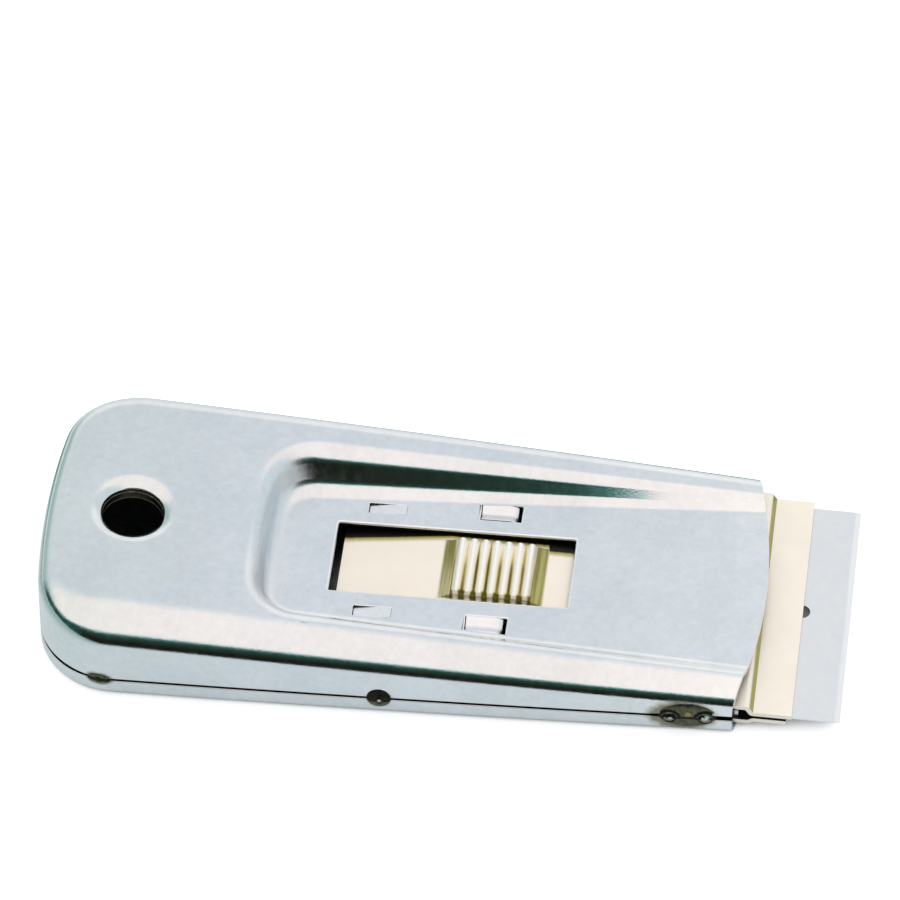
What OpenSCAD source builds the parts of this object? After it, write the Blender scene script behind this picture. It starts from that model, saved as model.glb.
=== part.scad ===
// Retractable razor blade scraper.
// Two pressed steel shells, welded along their seam, make a hollow handle.
// A sheet steel carriage slides in it and carries a single edge blade.
// Frame: origin in the middle of the flat underside, +X towards the blade, +Z up.

/* [Handle] */
// Length from the rear edge to the middle of the front edge
handle_l = 98.1; // [92:0.1:106]
// How much wider the handle is at the rear than at the front
rear_flare = 3.7; // [0:0.1:6]
// How much higher the handle is at the rear than at the front
rear_rise = 6.5; // [5:0.1:8]
// Free height inside the handle, under the recess floor
inside_h = 4.75; // [4.65:0.05:4.9]
// Thickness of the pressed sheet
sheet_t = 0.65; // [0.5:0.05:0.75]
// Height of the seam above the underside
lower_h = 2.8; // [2.4:0.1:3.1]
// How far each side bows outwards at mid length
side_bow = 0.38; // [0:0.02:0.8]
// Radius of the rear corners, seen from above
corner_r = 11; // [8:0.5:14]
// Radius of the bowed rear edge, seen from above
rear_r = 105; // [60:5:140]
// Radius of the bowed front edge, seen from above
front_r = 74; // [60:1:110]
// Radius of the rounded shoulder at the rear edge
rear_shoulder_r = 4.5; // [4:0.1:5.5]
// Radius of the rounded shoulder at the front edge
front_shoulder_r = 3.2; // [2.6:0.1:3.4]
// How far the upper wall leans in from the seam to the shoulder
wall_lean = 0.1; // [0:0.05:0.3]
// Radius of the lower shell's edge
foot_r = 0.9; // [0.8:0.05:1.4]
// Gap between the edges of the two shells
seam_gap = 0.12; // [0.05:0.01:0.2]

/* [Hang hole] */
// Distance of the hang hole from the rear edge
hole_from_rear = 12; // [10:0.1:14]
// Radius of the hang hole
hole_r = 4.25; // [3:0.05:5]
// Radius of the drawn-in lip round the hole
hole_lip_r = 1.15; // [0.9:0.05:1.4]
// Depth of the drawn collar below the top
collar_l = 2.6; // [2:0.1:4]

/* [Thumb recess] */
// Distance of the recess's rear rim from the rear edge
recess_from_rear = 27.5; // [26:0.1:29]
// Width of the flat land between the shoulder and the recess's rim, at the front
rim_land = 0.65; // [0.4:0.05:1.5]
// Height of the top above the recess floor, at the front
rim_rise = 0.95; // [0.8:0.05:1.4]
// Radius of the recess's rear corners at the rim
recess_corner_r = 8.5; // [6:0.5:10]
// Distance of the floor's rear edge from the rim's
floor_from_rim = 4.6; // [4.2:0.1:6]
// Distance of the floor's sides from the rim's at the front edge
front_run = 2.8; // [2.4:0.1:3.4]
// The same at the rear edge of the handle, if the recess ran that far
rear_run = 8.9; // [8:0.1:9.4]
// Radius of the floor's rear corners
floor_corner_r = 3; // [2:0.1:5]
// Roundness of the recess's wall: at 1 it would be one S of two arcs
wall_round = 0.93; // [0.6:0.01:0.96]
// Share of that roundness in the bend at the rim
rim_bend_share = 0.53; // [0.4:0.01:0.6]

/* [Slot and lances] */
// Distance of the slot's rear end from the floor's rear edge
slot_from_floor = 7.3; // [6:0.1:9]
// Length of the slot
slot_l = 32.2; // [31:0.1:33]
// Distance from the slot's sides to the guides
slot_to_guide = 2.5; // [2:0.1:3]
// Length of the windows of the pressed-down guide troughs
trough_l = 5.9; // [5:0.1:7]
// Opening between a trough and its window's rear end
trough_rear_gap = 0.35; // [0.1:0.05:0.6]
// Opening between a trough and its window's front end
trough_front_gap = 1; // [0.4:0.05:1.5]
// Width of the guide troughs
trough_w = 2.9; // [2.4:0.1:3.2]
// Depth of the guide troughs
trough_drop = 1; // [0.8:0.05:1.2]
// Distance from the slot's rear end to the troughs
trough_from_slot = 19; // [17:0.1:21]
// Length of the bent-down guide tabs
tab_l = 5.2; // [4:0.1:7]
// Width of the guide tabs
tab_w = 1.8; // [1.4:0.1:2.2]
// Drop of a tab's free end
tab_drop = 0.55; // [0.3:0.05:1.2]
// Distance from the slot's rear end to the tabs' free ends
tab_from_slot = 3.5; // [2:0.1:6]
// Distance from the guides to the floor's sides at the front edge
guide_to_side = 5.4; // [5.2:0.1:6]

/* [Seam welds] */
// Radius of the rear and middle weld beads
weld_r = 1.5; // [1:0.1:1.8]
// Radius of the front weld beads
front_weld_r = 1.25; // [1:0.05:1.5]
// How far a bead stands out of the wall
weld_dome = 0.28; // [0.15:0.01:0.4]
// Distance of the middle welds from the rear edge
mid_weld_from_rear = 47.9; // [40:0.1:55]
// Distance of the front welds from the front edge
front_weld_from_front = 8.9; // [7:0.1:12]
// Distance between the beads of a front weld, as a share of their radius
bead_pitch_share = 1.8; // [1.2:0.05:1.9]

/* [Carriage] */
// Thickness of the carriage's sheet
strip_t = 0.65; // [0.5:0.05:0.7]
// How far the blade holder stands out past each end of the blade
holder_margin = 0.45; // [0.3:0.05:1]
// Gap between the holder and each wall of the handle at the front
side_play = 0.5; // [0.4:0.05:1]
// Gap between the holder's underside and the lower shell
belly_gap = 0.18; // [0.1:0.01:0.3]
// Gap between the tongue and the recess floor, where the grip begins
tongue_gap = 0.15; // [0.1:0.01:0.3]
// How far the blade holder's step lies ahead of the handle's front corner line
step_from_front = -0.2; // [-0.6:0.1:0.4]
// Length of the lip ahead of the step
lip_l = 5.2; // [4:0.1:6]
// How far the lower lip stops short of the upper one
lower_lip_short = 0.75; // [0.3:0.05:1]
// Drop from the holder's roof to its lip
step_drop = 1.06; // [1:0.01:1.2]
// Gap between the blade and each lip
lip_play = 0.12; // [0.06:0.01:0.2]
// Length of plate behind the blade for the spot welds
weld_land = 3.71; // [3:0.01:5]
// Gap on each side of the tongue to its guides
guide_gap = 0.3; // [0.2:0.05:0.5]
// Length of the tongue behind the grip
tail_l = 14.2; // [13:0.1:15]
// Droop of the tongue behind the grip
tail_droop = 4.8; // [3:0.1:6]

/* [Thumb grip] */
// Length of the corrugated grip
grip_l = 13.4; // [13:0.1:14]
// Gap between the grip and each side of the slot
grip_play = 0.8; // [0.5:0.1:1.5]
// Number of ridges
ridges = 7; // [5:1:8]
// Height of the ridges' tops above the tongue
grip_h = 1.35; // [1:0.05:1.5]
// Depth of the grooves between the ridges
groove_h = 0.75; // [0.5:0.05:0.8]
// Distance from the front end of the slot to the grip, blade extended
grip_to_slot = 3.5; // [2:0.1:4.5]

/* [Blade] */
// Length of the cutting edge
blade_w = 38.1; // [37.5:0.1:38.3]
// Depth of the blade from its back to its cutting edge
blade_l = 19.05; // [18.5:0.05:19.5]
// Thickness of the blade
blade_t = 0.23; // [0.2:0.01:0.25]
// Gap between the blade's spine and the holder's step
spine_gap = 1.32; // [0.5:0.01:2]
// Length of the ground bevel
bevel_l = 0.8; // [0.5:0.05:1.2]
// Depth of the folded spine
spine_l = 5.9; // [5:0.1:6.2]
// Thickness of the spine's sheet
spine_t = 0.45; // [0.35:0.01:0.5]
// Width of the centre slot
blade_slot_w = 2.3; // [1.8:0.1:2.6]
// Length of the centre slot
blade_slot_l = 6.4; // [5:0.1:7]
// Distance of the centre slot from the cutting edge
blade_slot_from_edge = 5.5; // [5:0.1:6]
// Length and depth of the side notches
blade_notch = [2.6, 1.9];

/* [Hidden] */

steel = [0.80, 0.84, 0.86];
plated = [0.90, 0.85, 0.66];
blade_steel = [0.78, 0.81, 0.84];
burnt = [0.27, 0.21, 0.16];

// Overrun of cuts
over = 1;
// A pressed form runs this far into its sheet, and is drawn this much thinner on each face
lap = 0.3;
thinning = 0.04;
// Running gap round a bead in its notch, and at the tongue's root
bead_gap = 0.02;
root_gap = 0.08;
// Gap between a lance and its window
lance_gap = 0.12;
$fn = 64;

// Steps along the outline and round the bends
side_steps = 8;
corner_steps = 10;
edge_steps = 4;
bend_steps = 4;
shoulder_steps = 7;
front_steps = 12;

rear_x = -handle_l / 2;
front_x = handle_l / 2;
hole_x = rear_x + hole_from_rear;
recess_x = rear_x + recess_from_rear;
floor_x = recess_x + floor_from_rim;
slot_x = floor_x + slot_from_floor;
slot_end_x = slot_x + slot_l;

// Widths follow from the blade outwards, heights from the inside upwards
holder_w = blade_w + 2 * holder_margin;
front_w = holder_w + 2 * (side_play + sheet_t);
rear_w = front_w + rear_flare;
recess_w = front_w - 2 * (wall_lean + front_shoulder_r + rim_land);
floor_front_w = recess_w - 2 * front_run;
floor_rear_w = recess_w - 2 * rear_run;
guide_y = floor_front_w / 2 - guide_to_side;
slot_w = 2 * (guide_y - slot_to_guide);
grip_w = slot_w - 2 * grip_play;
floor_z = inside_h + 2 * sheet_t;
front_h = floor_z + rim_rise;
rear_h = front_h + rear_rise;
top_slope = atan(rear_rise / handle_l);

function mix(a, b, share) = a + (b - a) * share;
function along(x) = (x - rear_x) / handle_l;
function top_z(x) = mix(rear_h, front_h, along(x));
function flank_y(x, flank) =
    mix(flank[0], flank[1], along(x)) + flank[2] * 4 * along(x) * (1 - along(x));

// How far the bowed front edge lies behind its middle, at some distance from the centre line
function bow(y) = front_r - sqrt(front_r * front_r - y * y);

// Half of a U-shaped outline, open to the front. Each station is [x, y, outward normal x,
// outward normal y, share], the share being 1 at the front edge and 0 from the corner on
function half_outline(back, flank, r, back_r) =
    let (
        cy = flank_y(back + r, flank) - r,
        cx = back + back_r - sqrt(pow(back_r - r, 2) - cy * cy),
        swing = asin(cy / (back_r - r)),
        end_x = front_x - bow(flank_y(front_x, flank))
    )
    concat(
        [for (i = [0:side_steps - 1])
            let (share = 1 - i / side_steps, x = mix(cx, end_x, share))
            [x, -flank_y(x, flank), 0, -1, share]],
        [for (i = [0:corner_steps - 1])
            let (a = -90 - (90 - swing) * i / corner_steps)
            [cx + r * cos(a), -cy + r * sin(a), cos(a), sin(a), 0]],
        [for (i = [0:edge_steps])
            let (a = swing * (1 - i / edge_steps))
            [back + back_r - back_r * cos(a), -back_r * sin(a), -cos(a), -sin(a), 0]]
    );
function mirrored(half) = [for (i = [len(half) - 2:-1:0])
    [half[i][0], -half[i][1], half[i][2], -half[i][3], half[i][4]]];
function outline(back, flank, r, back_r) =
    let (half = half_outline(back, flank, r, back_r)) concat(half, mirrored(half));

// The plan point that lies inside a station by some distance, kept on the front edge's bow
function inset(s, d) =
    let (y = s[1] - s[3] * d) [s[0] - s[2] * d + s[4] * (bow(s[1]) - bow(y)), y];

seam_flank = [rear_w / 2, front_w / 2, side_bow];
seam = outline(rear_x, seam_flank, corner_r, rear_r);
rim = outline(recess_x, [recess_w / 2, recess_w / 2, 0], recess_corner_r, rear_r);
floor_edge = outline(floor_x, [floor_rear_w / 2, floor_front_w / 2, 0], floor_corner_r, rear_r);

// Cross-section of the upper shell at station i, on the skin that lies at depth o in the sheet:
// wall, shoulder, bend at the rim, bend at the floor
function top_section(i, o) =
    let (
        s = seam[i],
        r = mix(rear_shoulder_r, front_shoulder_r, along(s[0])),
        inner = wall_lean + r,
        z = top_z(inset(s, inner)[0]),
        b = rim[i],
        f = floor_edge[i],
        dx = f[0] - b[0],
        dy = f[1] - b[1],
        run = sqrt(dx * dx + dy * dy),
        zb = top_z(b[0]),
        drop = zb - floor_z,
        bends = wall_round * (run * run + drop * drop) / (2 * drop),
        rim_bend_r = bends * rim_bend_share,
        floor_bend_r = bends - rim_bend_r,
        span = sqrt(run * run + pow(bends - drop, 2)),
        a = asin(bends / span) - atan2(bends - drop, run)
    )
    concat(
        [concat(inset(s, o), lower_h + seam_gap / 2)],
        [for (k = [0:shoulder_steps])
            let (t = 90 * k / shoulder_steps)
            concat(inset(s, inner - (r - o) * cos(t)), z - r + (r - o) * sin(t))],
        [for (k = [0:bend_steps])
            let (t = a * k / bend_steps, out = (rim_bend_r - o) * sin(t) / run)
            [b[0] + dx * out, b[1] + dy * out, zb - rim_bend_r + (rim_bend_r - o) * cos(t)]],
        [for (k = [bend_steps:-1:0])
            let (t = a * k / bend_steps, back = (floor_bend_r + o) * sin(t) / run)
            [f[0] - dx * back, f[1] - dy * back,
                floor_z + floor_bend_r - (floor_bend_r + o) * cos(t)]]
    );

// Cross-section of the lower shell: wall, then the bend to the flat underside
function bottom_section(i, o) =
    let (s = seam[i])
    concat(
        [concat(inset(s, o), lower_h - seam_gap / 2)],
        [for (k = [0:bend_steps])
            let (t = 90 * k / bend_steps)
            concat(inset(s, foot_r - (foot_r - o) * cos(t)), foot_r - (foot_r - o) * sin(t))]
    );

// Points along the bowed front edge of a skin's plate, between its first and last station
function front_points(sections) =
    let (a = sections[0][len(sections[0]) - 1])
    [for (i = [1:front_steps - 1])
        let (y = a[1] * (2 * i / front_steps - 1)) [front_x - bow(y), y, a[2]]];

function turned(face) = [for (i = [len(face) - 1:-1:0]) face[i]];
function split(a, b, c, d) = [[a, b, c], [a, c, d]];

// A sheet between two skins, each a list of stations along a U outline; the last points
// of all stations lie in one plane and close the sheet there
module pressed_sheet(outer, inner, under = false) {
    n = len(outer);
    m = len(outer[0]);
    edge = n * m;
    first = edge + front_steps - 1;
    points = concat([for (s = outer) each s], front_points(outer),
        [for (s = inner) each s], front_points(inner));
    skin = [for (i = [0:n - 2], k = [0:m - 2])
        each split(i * m + k, (i + 1) * m + k, (i + 1) * m + k + 1, i * m + k + 1)];
    plate = concat([for (i = [0:n - 1]) i * m + m - 1], [for (i = [0:front_steps - 2]) edge + i]);
    // The open edge, round the wall's foot and back along the front
    open_edge = concat(
        [for (i = [n - 1:-1:0]) i * m], [for (k = [1:m - 1]) k],
        [for (i = [front_steps - 2:-1:0]) edge + i], [for (k = [m - 1:-1:1]) (n - 1) * m + k]);
    lip = [for (i = [0:len(open_edge) - 1])
        let (a = open_edge[i], b = open_edge[(i + 1) % len(open_edge)])
        each split(a, b, first + b, first + a)];
    backing = [for (face = concat(skin, [plate])) turned([for (p = face) first + p])];
    faces = concat(skin, [plate], backing, lip);
    polyhedron(points, under ? [for (f = faces) turned(f)] : faces, convexity = 8);
}

// Places children on the sloping top at the hang hole, +Z square to the top
module at_hole() {
    translate([hole_x, 0, top_z(hole_x)]) rotate([0, top_slope, 0]) children();
}

hole_bend_r = hole_lip_r - thinning;
hole_ring_r = hole_r + hole_bend_r;
formed_t = sheet_t - 2 * thinning;
module hole_lip() {
    rotate_extrude($fn = 96) {
        intersection() {
            translate([hole_r, -hole_lip_r]) square(hole_bend_r);
            difference() {
                translate([hole_ring_r, -hole_lip_r]) circle(hole_bend_r);
                translate([hole_ring_r, -hole_lip_r]) circle(hole_bend_r - formed_t);
            }
        }
        translate([hole_r, -collar_l]) square([formed_t, collar_l - hole_lip_r]);
        translate([hole_ring_r, -thinning - formed_t]) square([lap, formed_t]);
    }
}

// A sheet of one thickness under a path of [along, height] points, drawn across Y
module sheet_across(path, t, w) {
    under = [for (i = [len(path) - 1:-1:0]) [path[i][0], path[i][1] - t]];
    rotate([90, 0, 0]) linear_extrude(w, center = true) polygon(concat(path, under));
}

trough_steps = 16;
trough_x = slot_x + trough_from_slot;
trough_y = guide_y + lap + trough_w / 2;
module trough() {
    dip = [for (i = [0:trough_steps])
        let (share = i / trough_steps)
        [trough_w * (share - 1 / 2), -trough_drop * (1 - cos(360 * share)) / 2]];
    path = concat([[-trough_w / 2 - lap, 0]], dip, [[trough_w / 2 + lap, 0]]);
    back_x = trough_x + trough_rear_gap;
    ahead_x = trough_x + trough_l - trough_front_gap;
    translate([(back_x + ahead_x) / 2, trough_y, floor_z - thinning])
        rotate([0, 0, 90]) sheet_across(path, formed_t, ahead_x - back_x);
}

tab_x = slot_x + tab_from_slot;
tab_y = guide_y + tab_w / 2;
module tab() {
    bend = tab_l / 4;
    path = [
        [tab_x + tab_l + lap, 0], [tab_x + tab_l, 0],
        [tab_x + tab_l - bend, -tab_drop / 6], [tab_x + lance_gap, -tab_drop]
    ];
    translate([0, tab_y, floor_z - thinning]) sheet_across(path, formed_t, tab_w - 2 * lance_gap);
}

module lance_windows() {
    deep = floor_z - sheet_t - over;
    tall = sheet_t + 2 * over;
    translate([trough_x, trough_y - trough_w / 2, deep]) cube([trough_l, trough_w, tall]);
    translate([tab_x, tab_y - tab_w / 2, deep]) cube([tab_l, tab_w, tall]);
}

module both_sides() {
    children();
    mirror([0, 1, 0]) children();
}

// Places children on the seam, +Z pointing out of the wall
module on_seam(p) {
    translate([p[0], p[1], lower_h]) rotate([0, 90, atan2(p[3], p[2])]) children();
}
mid_weld_x = rear_x + mid_weld_from_rear;
front_weld_x = front_x - front_weld_from_front;
mid_weld_at = [mid_weld_x, -flank_y(mid_weld_x, seam_flank), 0, -1];
function front_weld_at(i) =
    let (x = front_weld_x + i * bead_pitch_share * front_weld_r) [x, -flank_y(x, seam_flank), 0, -1];
// The rear welds lie where the corner leaves the side
rear_weld_at = seam[side_steps + floor(corner_steps / 8)];

module bead(r, gap = 0) {
    ball_r = (r * r + weld_dome * weld_dome) / (2 * weld_dome);
    depth = sheet_t + wall_lean;
    intersection() {
        translate([0, 0, -depth]) cylinder(r = r + gap, h = depth + weld_dome);
        translate([0, 0, weld_dome - ball_r]) sphere(ball_r + gap);
    }
}
module weld_notch(r) {
    translate([0, 0, -sheet_t - 2 * wall_lean - over])
        cylinder(r = r + bead_gap, h = sheet_t + 2 * (wall_lean + over));
}
module weld_notches() {
    both_sides() {
        on_seam(rear_weld_at) weld_notch(weld_r);
        on_seam(mid_weld_at) weld_notch(weld_r);
        for (i = [-1:1]) on_seam(front_weld_at(i)) weld_notch(front_weld_r);
    }
}

module top_shell() {
    n = len(seam) - 1;
    color(steel) {
        difference() {
            pressed_sheet([for (i = [0:n]) top_section(i, 0)], [for (i = [0:n]) top_section(i, sheet_t)]);
            at_hole() translate([0, 0, -sheet_t - over])
                cylinder(r = hole_ring_r, h = sheet_t + 2 * over, $fn = 96);
            translate([slot_x, -slot_w / 2, floor_z - sheet_t - over])
                cube([slot_l, slot_w, sheet_t + 2 * over]);
            both_sides() lance_windows();
            weld_notches();
        }
        at_hole() hole_lip();
        both_sides() {
            trough();
            tab();
        }
    }
}

module bottom_shell() {
    n = len(seam) - 1;
    color(steel) difference() {
        pressed_sheet(
            [for (i = [0:n]) bottom_section(i, 0)],
            [for (i = [0:n]) bottom_section(i, sheet_t)], under = true);
        at_hole() translate([0, 0, -rear_h - over]) cylinder(r = hole_r, h = rear_h, $fn = 96);
        weld_notches();
    }
}

module rear_weld() {
    color(burnt) on_seam(rear_weld_at) bead(weld_r);
}
module middle_weld() {
    color(burnt) on_seam(mid_weld_at) bead(weld_r);
}
module front_weld() {
    color(burnt) for (i = [-1:1]) on_seam(front_weld_at(i)) bead(front_weld_r);
}

// The carriage is drawn level, with the tongue's top at height 0, and then tilted about
// the tongue's root until the holder's bed rests on the lower shell and the tongue meets
// the recess floor
step_x = front_x + step_from_front;
step_run = strip_t;
lip_x = step_x + lip_l;
lip_z = -step_drop;
lip_gap = blade_t + 2 * lip_play;
lower_lip_z = lip_z - strip_t - lip_gap;
bend_in = strip_t / 6;
// The blade lies midway between the lips, its spine behind the step
blade_z = lip_z - strip_t - lip_gap / 2;
spine_h = blade_t + 2 * spine_t;
spine_back_x = step_x - step_run - spine_gap - spine_l;
blade_back_x = spine_back_x + spine_t + bead_gap;
blade_edge_x = blade_back_x + blade_l;
bed_z = blade_z - spine_h / 2 - lip_gap / 4;
// The lower plate rises behind the spine to meet the roof
joint_x = spine_back_x - lip_gap;
rise_run = strip_t;
joint_z = -strip_t;
root_x = joint_x - rise_run - weld_land;
spot_r = 1.2;
spot_x = (root_x + joint_x - rise_run) / 2;
spot_y = holder_w / 4;

grip_end_x = slot_end_x - grip_to_slot;
grip_x = grip_end_x - grip_l;
bed_rest_z = sheet_t + belly_gap + strip_t - bed_z;
tongue_rest_z = floor_z - sheet_t - tongue_gap;
bed_reach = step_x - step_run - root_x;
nose_tilt = asin((tongue_rest_z - bed_rest_z) / (bed_reach + root_x - grip_x));
strip_z = bed_rest_z + bed_reach * sin(nose_tilt);
module tilted() {
    translate([root_x, 0, strip_z]) rotate([0, nose_tilt, 0]) translate([-root_x, 0, 0])
        children();
}

function heading(a, b) = (b - a) / norm(b - a);
function square_to(u) = [-u[1], u[0]];
// A folded plate: a path of [x, z] corners along its top face, each rounded by a bend
// whose inside radius is bend_in, given back as the outline of the whole plate
function bend_at(a, b, c, o) =
    let (
        u = heading(a, b),
        v = heading(b, c),
        turn = atan2(u[0] * v[1] - u[1] * v[0], u * v),
        side = turn < 0 ? -1 : 1,
        r = turn < 0 ? bend_in + strip_t : bend_in,
        start = b - u * r * tan(abs(turn) / 2),
        centre = start + side * r * square_to(u)
    )
    [for (k = [0:bend_steps])
        let (
            t = turn * k / bend_steps,
            w = [u[0] * cos(t) - u[1] * sin(t), u[0] * sin(t) + u[1] * cos(t)]
        )
        centre - side * (r + side * o) * square_to(w)];
function plate_side(path, o) =
    let (
        last = len(path) - 1,
        from = square_to(heading(path[0], path[1])),
        to = square_to(heading(path[last - 1], path[last]))
    )
    concat([path[0] - o * from],
        [for (i = [1:last - 1]) each bend_at(path[i - 1], path[i], path[i + 1], o)],
        [path[last] - o * to]);
module bent_plate(path, w) {
    rotate([90, 0, 0]) linear_extrude(w, center = true)
        polygon(concat(plate_side(path, 0), turned(plate_side(path, strip_t))));
}

module spot_places(side) {
    translate([spot_x, side * spot_y, -2 * strip_t]) children();
}

module holder_top_plate() {
    color(plated) tilted() difference() {
        bent_plate([[root_x, 0], [step_x - step_run, 0], [step_x, lip_z], [lip_x, lip_z]], holder_w);
        translate([root_x, 0, -strip_t / 2]) rotate([90, 0, 0])
            cylinder(r = strip_t / 2 + root_gap, h = holder_w + over, center = true);
        for (side = [-1, 1]) spot_places(side)
            translate([0, 0, -over]) cylinder(r = spot_r + bead_gap, h = 2 * (strip_t + over));
    }
}

module holder_bottom_plate() {
    lower_lip_x = lip_x - lower_lip_short;
    color(plated) tilted() difference() {
        bent_plate([
            [root_x + strip_t, joint_z], [joint_x - rise_run, joint_z], [joint_x, bed_z],
            [step_x - step_run, bed_z], [step_x, lower_lip_z], [lower_lip_x, lower_lip_z]
        ], holder_w);
        for (side = [-1, 1]) spot_places(side)
            translate([0, 0, -over]) cylinder(r = spot_r + bead_gap, h = 2 * (strip_t + over));
    }
}

module holder_spot_weld(side) {
    color(plated) tilted() spot_places(side) cylinder(r = spot_r, h = 2 * strip_t);
}

ramp_l = grip_l / 9;
tongue_w = 2 * (guide_y - guide_gap);
ridge_steps = 12;
module thumb_tongue() {
    tail_x = grip_x - tail_l;
    tail_z = -tail_l * tan(tail_droop);
    pitch = (grip_l - 2 * ramp_l) / ridges;
    wave = [for (i = [0:ridges * ridge_steps])
        [grip_x + ramp_l + pitch * i / ridge_steps,
            grip_h - groove_h * (1 + cos(360 * i / ridge_steps)) / 2]];
    crest = concat([[grip_x, 0]], wave, [[grip_end_x, 0]]);
    wall_t = strip_t / 2;
    color(plated) tilted() {
        difference() {
            sheet_across([[tail_x, tail_z], [grip_x, 0], [root_x, 0]], strip_t, tongue_w);
            translate([grip_x, wall_t - grip_w / 2, -strip_t - over])
                cube([grip_l, grip_w - 2 * wall_t, strip_t + 2 * over]);
            translate([root_x, -tongue_w, -strip_t / 2 - over])
                cube([over, 2 * tongue_w, 2 * over]);
        }
        sheet_across(concat(crest, [[grip_end_x + lap, 0]]), strip_t, grip_w);
        // The drawn form is closed at both ends of its ridges
        for (side = [-1, 1]) translate([0, side * (grip_w - wall_t) / 2, 0]) rotate([90, 0, 0])
            linear_extrude(wall_t, center = true)
                polygon(concat([[grip_x, -strip_t / 2]], crest, [[grip_end_x, -strip_t / 2]]));
        translate([root_x, 0, -strip_t / 2]) rotate([90, 0, 0])
            cylinder(r = strip_t / 2, h = tongue_w, center = true);
    }
}

module blade_outline() {
    back_x = blade_back_x;
    notch_x = spine_back_x + spine_l;
    slot_r = blade_slot_w / 2;
    slot_front_x = blade_edge_x - blade_slot_from_edge - slot_r;
    slot_back_x = slot_front_x - blade_slot_l + blade_slot_w;
    difference() {
        translate([back_x, -blade_w / 2]) square([blade_l, blade_w]);
        for (side = [-1, 1]) translate([notch_x, side * blade_w / 2 - blade_notch[1]])
            square([blade_notch[0], 2 * blade_notch[1]]);
        for (x = [slot_front_x, slot_back_x]) translate([x, 0]) circle(slot_r);
        translate([slot_back_x, -slot_r]) square([slot_front_x - slot_back_x, blade_slot_w]);
    }
}

module blade() {
    grind = atan(blade_t / 2 / bevel_l);
    color(blade_steel) tilted() translate([0, 0, blade_z]) difference() {
        translate([0, 0, -blade_t / 2]) linear_extrude(blade_t) blade_outline();
        for (side = [-1, 1]) translate([blade_edge_x, 0, 0]) mirror([0, 0, side < 0 ? 1 : 0])
            rotate([0, grind, 0]) translate([-blade_l / 2, -blade_w, 0])
                cube([blade_l, 2 * blade_w, over]);
    }
}

module blade_spine() {
    outer_r = spine_h / 2;
    inner_r = blade_t / 2;
    bend_x = spine_back_x + outer_r;
    front = spine_back_x + spine_l;
    color(steel) tilted() translate([0, 0, blade_z]) rotate([90, 0, 0])
        linear_extrude(blade_w, center = true) difference() {
            union() {
                translate([bend_x, 0]) circle(outer_r);
                translate([bend_x, -outer_r]) square([front - bend_x, spine_h]);
            }
            translate([blade_back_x, -inner_r]) square([blade_l, blade_t]);
        }
}

top_shell();
bottom_shell();
mirror([0, 1, 0]) rear_weld();  // rear_weld_left
rear_weld();  // rear_weld_right
mirror([0, 1, 0]) middle_weld();  // middle_weld_left
middle_weld();  // middle_weld_right
mirror([0, 1, 0]) front_weld();  // front_weld_left
front_weld();  // front_weld_right
holder_top_plate();
holder_bottom_plate();
holder_spot_weld(1);  // holder_spot_weld_left
holder_spot_weld(-1);  // holder_spot_weld_right
thumb_tongue();
blade();
blade_spine();
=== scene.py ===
"""Razor blade scraper: the looks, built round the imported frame. Lengths are in millimetres
until a mesh is made, and follow the same named values as the CAD source."""
import math

import bpy
from mathutils import Matrix, Vector
from mathutils.geometry import delaunay_2d_cdt


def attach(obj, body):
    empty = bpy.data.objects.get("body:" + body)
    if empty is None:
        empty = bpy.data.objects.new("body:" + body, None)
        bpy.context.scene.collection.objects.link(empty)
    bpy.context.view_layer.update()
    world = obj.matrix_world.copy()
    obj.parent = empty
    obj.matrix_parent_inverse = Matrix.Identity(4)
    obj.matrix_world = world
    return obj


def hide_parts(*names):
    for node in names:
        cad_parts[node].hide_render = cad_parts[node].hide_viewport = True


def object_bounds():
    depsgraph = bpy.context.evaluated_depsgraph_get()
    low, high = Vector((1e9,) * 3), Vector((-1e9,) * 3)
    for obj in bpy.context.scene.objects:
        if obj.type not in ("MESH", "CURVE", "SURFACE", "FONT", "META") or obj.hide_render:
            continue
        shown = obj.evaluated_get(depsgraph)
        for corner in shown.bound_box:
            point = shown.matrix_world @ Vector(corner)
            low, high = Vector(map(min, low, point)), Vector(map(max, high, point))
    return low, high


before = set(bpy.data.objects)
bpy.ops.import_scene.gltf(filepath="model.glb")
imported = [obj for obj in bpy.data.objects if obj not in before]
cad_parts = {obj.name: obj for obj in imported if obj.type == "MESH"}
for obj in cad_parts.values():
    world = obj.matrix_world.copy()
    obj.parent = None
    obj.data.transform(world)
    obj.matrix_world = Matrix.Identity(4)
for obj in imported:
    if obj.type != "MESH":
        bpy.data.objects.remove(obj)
cad_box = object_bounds()

# Handle
HANDLE_L, REAR_W, FRONT_W, REAR_H, FRONT_H = 98.1, 45.0, 41.3, 13.5, 7.0
SHEET, LOWER_H, BOW, CORNER_R, REAR_R, FRONT_R = 0.65, 2.8, 0.38, 11.0, 105.0, 74.0
LEAN, FOOT_R, SEAM_GAP, ROLL, ROLL_N = 0.1, 0.9, 0.42, 0.12, 4
FLANK = (REAR_W / 2, FRONT_W / 2, BOW)
# Run along the top and fall down the wall of the shoulder's arc, at the rear edge and at the front
NEAR_RUN, NEAR_FALL, FAR_RUN, FAR_FALL, REAR_RUN = (6.9, 4.4), (5.3, 3.2), (3.6, 3.1), (3.5, 3.1), 2.4
# Hang hole, with the radius and tilt in degrees down the dish round it
HOLE_FROM_REAR, HOLE_R, LIP_R, COLLAR = 12.0, 4.25, 0.4, 2.6
DISH = [(6.4, 0.0), (6.0, 8.0), (5.45, 20.0), (4.9, 30.0), (4.393, 40.0)]
DISH_N, LIP_N, DARK_LIP_ROWS = 5, 10, 4
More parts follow.
